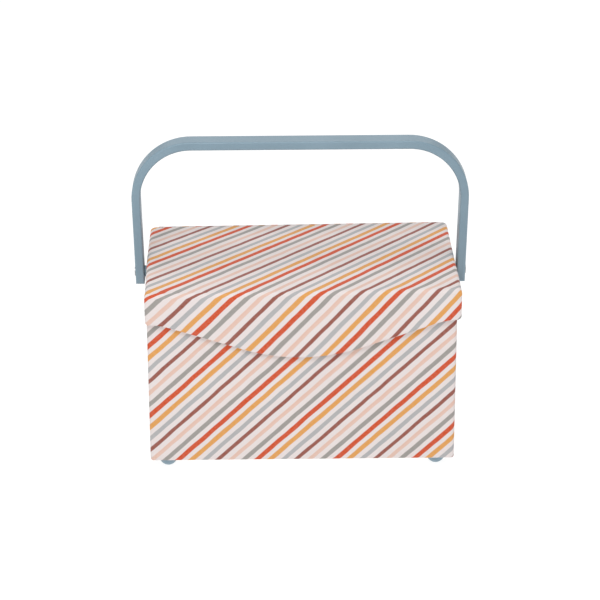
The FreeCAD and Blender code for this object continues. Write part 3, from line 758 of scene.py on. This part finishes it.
def make_flap_lining():
    """The lining of the flap's rear, which runs on over the inside of the fold to the lid's underside."""
    margin, half, fold_half = 2 * MM, LID_HALF - 2 * MM, LID_HALF - 10.8 * MM
    lid_end = FOLD_START + 11 * MM
    end_drop = FOLD_FOOT - (TOP - FLAP_END_DROP) - margin
    under_hem, over_hem = -0.05 * MM, 0.55 * MM

    def place(x, t, depth):
        thick = (cover_inner(t) - cover_outer(t)).length
        proud = lerp(under_hem, over_hem, smooth(INNER_START + 4 * MM, INNER_END - 4 * MM, t))
        return cover_place(-x, t, thick + proud - depth)

    def shape(x, t):
        if t >= FOLD_END:
            return x * fold_half / half, t
        drop = FOLD_FOOT - flap_bottom(x) - margin
        wide = lerp(fold_half / half, 1.0, smooth(INNER_END - 1 * MM, INNER_END - 6 * MM, t))
        return x * wide, FOLD_END + (t - FOLD_END) * drop / end_drop

    ends = [0.0, 0.6 * MM, 1.2 * MM]
    foot = FOLD_END - end_drop
    rows = ([foot + e for e in ends] + spread(foot + 2.4 * MM, INNER_END, 9)[:-1]
            + spread(INNER_END, FOLD_START, 12) + spread(FOLD_START, lid_end, 5)[1:])
    piece = soft_panel("flap_back_lining", fine_ends(-half, half, 4 * MM, ends), rows, (1.2 * MM, 1 * MM),
                       thin_rings(0.3 * MM, 0.12 * MM), place, plain_coords, shape, closed=True)
    finish_piece(piece, "lining_cotton")
    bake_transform(piece)
    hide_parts("flap_lining")


def flat_panel(name, low, high, up, edge, height, step=4 * MM, corner=3 * MM):
    """A closed panel between two corners of a box, facing up or down; height(x, y) is added to its face."""
    side, thick = (1 if up else -1), high.z - low.z
    middle, half_x, half_y = (low + high) / 2, (high.x - low.x) / 2 - edge, (high.y - low.y) / 2 - edge

    def place(x, t, depth):
        face = height(x, t) * (1 - depth / thick) - depth
        return Vector((middle.x + side * x, middle.y + t, (high.z if up else low.z) + side * face))

    ends = [0.0, corner / 3, corner * 2 / 3, corner]
    return soft_panel(name, fine_ends(-half_x, half_x, step, ends), fine_ends(-half_y, half_y, step, ends),
                      (corner, corner), thin_rings(thick, edge), place, plain_coords, closed=True)


def level(x, y):
    return 0.0


def swell(half_x, half_y, rise):
    """A low crown that falls to nothing at a panel's edges."""
    return lambda x, y: rise * max(0, 1 - (x / half_x) ** 4) * max(0, 1 - (y / half_y) ** 4)


def make_lid_lining():
    low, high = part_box("lid_lining")
    crown = swell(high.x, (high.y - low.y) / 2, 0.7 * MM)
    piece = flat_panel("lid_card_lining", low, high, False, 0.5 * MM, crown)
    finish_piece(piece, "lining_cotton")
    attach(piece, "lid")
    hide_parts("lid_lining")


def make_floor_pad():
    """The pad on the floor, quilted in diamonds."""
    low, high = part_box("floor_pad")
    inset = Vector((5.6 * MM, 1.2 * MM, 0))
    pitch, puff, sunk = 36 * MM, 1.3 * MM, 0.4 * MM

    def quilt(x, y):
        seams = [abs(math.sin(math.pi * (x + side * y) / pitch)) for side in (-1, 1)]
        return puff * min(seams) ** 0.55 - sunk

    piece = flat_panel("quilted_floor_pad", low + inset, high - inset, True, 0.6 * MM, quilt, 2.6 * MM)
    finish_piece(piece, "lining_cotton")
    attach(piece, "box")
    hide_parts("floor_pad")


def make_base_cover():
    low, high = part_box("base_cover")
    inset, drop = 4 * MM, 0.35 * MM
    piece = flat_panel("base_cloth", Vector((low.x + inset, low.y + inset, body_low.z - drop)),
                       Vector((high.x - inset, high.y - inset, body_low.z)), False, 0.15 * MM, level, 6 * MM)
    finish_piece(piece, "lining_cotton")
    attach(piece, "box")
    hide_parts("base_cover")


def make_body_lining():
    """Plain cotton round the inside of the walls, tucked behind the hem of the striped cover."""
    inset, tuck, pull = WALL - 0.3 * MM, 3 * MM, 0.35 * MM
    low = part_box("body_lining")[0].z + 0.1 * MM
    high = body_high.z - HEM_INSIDE + tuck
    loop, heights = wall_loop(inset), spread(low, high, 24)
    walked = lengths_along(loop)
    points, flat = [], []
    for z in heights:
        for spot, s in zip(loop, walked):
            lap = pull * smooth(walked[-1] - 2.2 * LAP, walked[-1] - 2 * LAP, s)
            lap *= lerp(LAP_LEAST, 1.0, smooth(high - tuck, high - 3 * tuck, z))
            points.append((spot.x, spot.y - lap, z))
            flat.append((s, z))
    piece = add_piece("wall_lining", points, grid_faces(len(heights), len(loop), turned=True), flat)
    thicken(piece, 0.5 * MM)
    finish_piece(piece, "lining_cotton")
    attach(piece, "box")
    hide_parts("body_lining")


def make_ledges():
    """The two cloth-covered boards that the tray's lip rests on."""
    for side, name in ((-1, "left"), (1, "right")):
        low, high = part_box("tray_ledge_" + name)
        edge, thick = 1.0 * MM, high.x - low.x
        face = high.x if side < 0 else low.x
        middle, half = (low.y + high.y) / 2, (high.y - low.y) / 2 - 0.6 * MM - edge

        def place(x, t, depth):
            return Vector((face + side * depth, middle - side * x, t))

        ends = [0.0, 0.5 * MM, 1 * MM]
        piece = soft_panel("ledge_cloth_" + name, fine_ends(-half, half, 6 * MM, ends),
                           fine_ends(low.z + edge, high.z - edge, 6 * MM, ends), (1 * MM, 1 * MM),
                           thin_rings(thick, edge), place, plain_coords, closed=True)
        finish_piece(piece, "lining_cotton")
        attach(piece, "box")
        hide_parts("tray_ledge_" + name)


make_flap_lining()
make_lid_lining()
make_floor_pad()
make_base_cover()
make_body_lining()
make_ledges()


# Things on the lid's underside: gathered pocket, its elastic and the pincushion

pocket_low, pocket_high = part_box("lid_pocket")
# The seam's thickness, and the depth of the pocket that is left for the seam and the gathers.
POCKET_SEAM, POCKET_SPARE = 0.5 * MM, 2.2 * MM
FULLNESS = 1.25         # the pocket's cloth is this much wider than the pocket
# The gathers' height, and what is added to it at the mouth.
GATHERS, MOUTH_GATHERS = 0.3 * MM, 0.95 * MM


def pocket_depth(x, y):
    """How far the pocket's cloth stands off the lid: full at the mouth, drawn in at its sewn edges."""
    middle, half = (pocket_low.x + pocket_high.x) / 2, (pocket_high.x - pocket_low.x) / 2
    u = min(1.0, abs(x - middle) / half)
    v = min(1.0, max(0.0, (y - pocket_low.y) / (pocket_high.y - pocket_low.y)))
    full = pocket_high.z - pocket_low.z - POCKET_SPARE
    body = full * (1 - u ** 3.5) ** 0.55 * (1 - v ** 3.2) ** 0.6 * lerp(0.9, 1.0, smooth(0.0, 0.3, v))
    folds = math.sin(x / (1.1 * MM) + 1.3 * math.sin(x / (9 * MM)))
    folds += 0.6 * math.sin(x / (2.3 * MM) + y / (14 * MM))
    gather = (MOUTH_GATHERS * (1 - v) ** 1.4 + GATHERS) * folds * min(1.0, body / (3 * MM))
    return POCKET_SEAM + body + gather


def make_pocket():
    """The gathered pocket and the elastic along its mouth."""
    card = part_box("lid_lining")[0].z
    half_x = (pocket_high.x - pocket_low.x) / 2
    middle_x = (pocket_low.x + pocket_high.x) / 2
    columns = spread(-half_x, half_x, 230)
    rows = spread(pocket_low.y, pocket_high.y, 60)
    points = [(middle_x - x, y, card - pocket_depth(middle_x - x, y)) for y in rows for x in columns]
    flat = [(FULLNESS * x, y) for y in rows for x in columns]
    pocket = add_piece("gathered_pocket", points, grid_faces(len(rows), len(columns)), flat)
    thicken(pocket, 0.4 * MM)
    finish_piece(pocket, "lining_cotton")
    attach(pocket, "lid")
    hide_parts("lid_pocket")

    low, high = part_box("pocket_elastic")
    middle, half = (low + high) / 2, (high - low) / 2
    thick, edge = 0.9 * MM, 0.35 * MM

    def place(x, t, depth):
        ruche = 0.22 * MM * math.sin(x / (0.8 * MM)) * math.cos(t / half.y * 1.2)
        under = pocket_depth(middle.x - x, middle.y + t) + 0.05 * MM
        return Vector((middle.x - x, middle.y + t, pocket_high.z - under - thick + depth - ruche))

    columns = fine_ends(-half.x + edge, half.x - edge, 0.7 * MM, [0.0, 0.4 * MM])
    rows = spread(-half.y + edge, half.y - edge, 8)
    elastic = soft_panel("ruched_elastic", columns, rows, (0.4 * MM, 0.4 * MM), thin_rings(thick, edge),
                         place, plain_coords, closed=True)
    finish_piece(elastic, "elastic")
    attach(elastic, "lid")
    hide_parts("pocket_elastic")


CUSHION_START = Vector((6 * MM, 6 * MM, 7.5 * MM))    # how much smaller the cushion is before it is stuffed
CUSHION_SWELLING = 7.3 * MM                           # the farthest that the stuffing pushes the cloth out
BUTTON_PULL, PULL_REACH = 4.5 * MM, 8 * MM
SEWN = 1.2 * MM                                       # cloth this near to the lid is sewn to it
STUFFING_STEPS = 20
BUTTON_PROFILE = ((0.0, -1.9), (1.6, -1.7), (2.8, -2.1), (3.9, -2.0), (4.5, -1.3), (4.4, -0.5), (3.6, 0.1),
                  (1.6, 0.5), (0.0, 0.6))             # radius and height in millimetres
BUTTON_TURNS = 32


def stuff(piece, card):
    """Blows a piece up as cloth that is held where it is sewn to the lid."""
    held = piece.vertex_groups.new(name="sewn")
    held.add([v.index for v in piece.data.vertices if v.co.z > card - SEWN], 1.0, "REPLACE")
    cloth = piece.modifiers.new("cloth", "CLOTH")
    cloth.settings.use_pressure = True
    cloth.settings.uniform_pressure_force = 4.0
    cloth.settings.vertex_group_mass = "sewn"
    cloth.settings.effector_weights.gravity = 0.0
    cloth.point_cache.frame_start, cloth.point_cache.frame_end = 1, STUFFING_STEPS
    for step in range(1, STUFFING_STEPS + 1):
        bpy.context.scene.frame_set(step)
    apply_modifiers(piece)
    bpy.context.scene.frame_set(1)
    piece.vertex_groups.clear()


def make_pincushion():
    """A stuffed square with a button in its middle, sewn to the lid's underside."""
    low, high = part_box("pincushion")
    middle, card = (low + high) / 2, high.z
    start_low, start_high = low + CUSHION_START, high - Vector((CUSHION_START.x, CUSHION_START.y, 0))
    edge = 0.45 * (start_high.z - start_low.z)
    piece = flat_panel("stuffed_pincushion", start_low, start_high, False, edge, level, 3 * MM, 14 * MM)
    remesh = piece.modifiers.new("remesh", "REMESH")
    remesh.mode = "VOXEL"
    remesh.voxel_size = 2.2 * MM
    apply_modifiers(piece)
    rest = [v.co.copy() for v in piece.data.vertices]
    stuff(piece, card)
    swelling = max((v.co - from_here).length for v, from_here in zip(piece.data.vertices, rest))
    share = min(1.0, CUSHION_SWELLING / max(swelling, 1e-9))
    for v, from_here in zip(piece.data.vertices, rest):
        v.co = from_here + (v.co - from_here) * share
        out = math.hypot(v.co.x - middle.x, v.co.y - middle.y)
        if v.co.z < card - 2 * MM:
            v.co.z += BUTTON_PULL * math.exp(-(out / PULL_REACH) ** 2)
        v.co.z = min(max(v.co.z, low.z), card - 0.1 * MM)
    soften = piece.modifiers.new("soften", "SMOOTH")
    soften.factor, soften.iterations = 0.5, 6
    subdivide(piece, 2)
    for face in piece.data.polygons:
        face.use_smooth = True
    finish_piece(piece, "cushion_cloth")
    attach(piece, "lid")
    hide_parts("pincushion")
    dimple = [v.co.z for v in piece.data.vertices
              if math.hypot(v.co.x - middle.x, v.co.y - middle.y) < 4 * MM and v.co.z < card - 2 * MM]
    make_button(Vector((middle.x, middle.y, max(dimple))))


def make_button(centre):
    turns = [2 * math.pi * k / BUTTON_TURNS for k in range(BUTTON_TURNS)]
    points = [Vector((r * MM * math.cos(a), r * MM * math.sin(a), z * MM)) + centre
              for r, z in BUTTON_PROFILE for a in turns]
    faces = []
    for j in range(len(BUTTON_PROFILE) - 1):
        this, following = j * BUTTON_TURNS, (j + 1) * BUTTON_TURNS
        for k in range(BUTTON_TURNS):
            ahead = (k + 1) % BUTTON_TURNS
            faces.append((this + k, following + k, following + ahead, this + ahead))
    button = add_piece("pincushion_button", points, faces)
    subdivide(button, 1)
    finish_piece(button, "handle_plastic")
    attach(button, "lid")


make_pocket()
make_pincushion()


# Floor, light and camera

FLOOR_REACH = 14.0      # so wide that no pose is seen past its end
FLOOR_GLOW, WORLD_GLOW = 0.88, 0.42


def make_floor():
    """A white floor that glows a little, as in a light tent."""
    lines = spread(-FLOOR_REACH, FLOOR_REACH, 8)
    points = [(x, y, 0.0) for y in lines for x in lines]
    floor = add_piece("floor", points, grid_faces(len(lines), len(lines)))
    shader = Shader("floor_white")
    cloud = shader.noise(shader.place(), 0.4, 2.0)
    tone = shader.mix(shader.range(cloud, 0.0, 1.0), (0.24, 0.24, 0.24, 1), (0.26, 0.26, 0.26, 1))
    shader.set(base_color=tone, roughness=0.9, specular_ior_level=0.1, emission_color=(1, 1, 1, 1),
               emission_strength=FLOOR_GLOW)
    floor.data.materials.append(shader.material)


def area_light(name, place, aim, size, power):
    light = bpy.data.lights.new(name, "AREA")
    light.shape = "DISK"
    light.size = size
    light.energy = power
    lamp = bpy.data.objects.new(name, light)
    lamp.location = place
    lamp.rotation_euler = (Vector(aim) - Vector(place)).to_track_quat("-Z", "Y").to_euler()
    lamp.visible_camera = False
    bpy.context.scene.collection.objects.link(lamp)


def make_camera():
    """The photograph's camera, fitted to the edges of the lid, body and handle."""
    focal, frame_side, sensor = 2285.64, 600, 36.0
    pitch, yaw, roll = 0.391862, -0.016188, -0.0025003
    target, distance = Vector((-0.4496, 0.0, 122.316)) * MM, 1948.45 * MM
    ahead = Vector((-math.sin(yaw) * math.cos(pitch), math.cos(yaw) * math.cos(pitch), -math.sin(pitch)))
    level = Vector((math.cos(yaw), math.sin(yaw), 0.0))
    upward = level.cross(ahead)
    right = math.cos(roll) * level + math.sin(roll) * upward
    up = math.cos(roll) * upward - math.sin(roll) * level
    camera = bpy.data.cameras.new("camera")
    camera.sensor_fit = "HORIZONTAL"
    camera.sensor_width = sensor
    camera.lens = focal * sensor / frame_side
    holder = bpy.data.objects.new("camera", camera)
    turn = Matrix((right, up, -ahead)).transposed().to_4x4()
    holder.matrix_world = Matrix.Translation(target - ahead * distance) @ turn
    bpy.context.scene.collection.objects.link(holder)
    bpy.context.scene.camera = holder


def make_world():
    world = bpy.data.worlds.new("studio")
    world.use_nodes = True
    background = world.node_tree.nodes["Background"]
    background.inputs["Color"].default_value = (1.0, 1.0, 1.0, 1.0)
    background.inputs["Strength"].default_value = WORLD_GLOW
    bpy.context.scene.world = world
    bpy.context.scene.view_settings.view_transform = "Standard"


make_floor()
area_light("key_box", (-0.25, -0.8, 1.15), (0, -0.05, 0.12), 0.6, 7.0)
area_light("top_box", (0.3, 0.0, 2.2), (0, 0, 0.1), 1.6, 9.5)
area_light("back_box", (0.0, 1.3, 0.8), (0, 0, 0.2), 1.3, 2.4)
make_world()
make_camera()
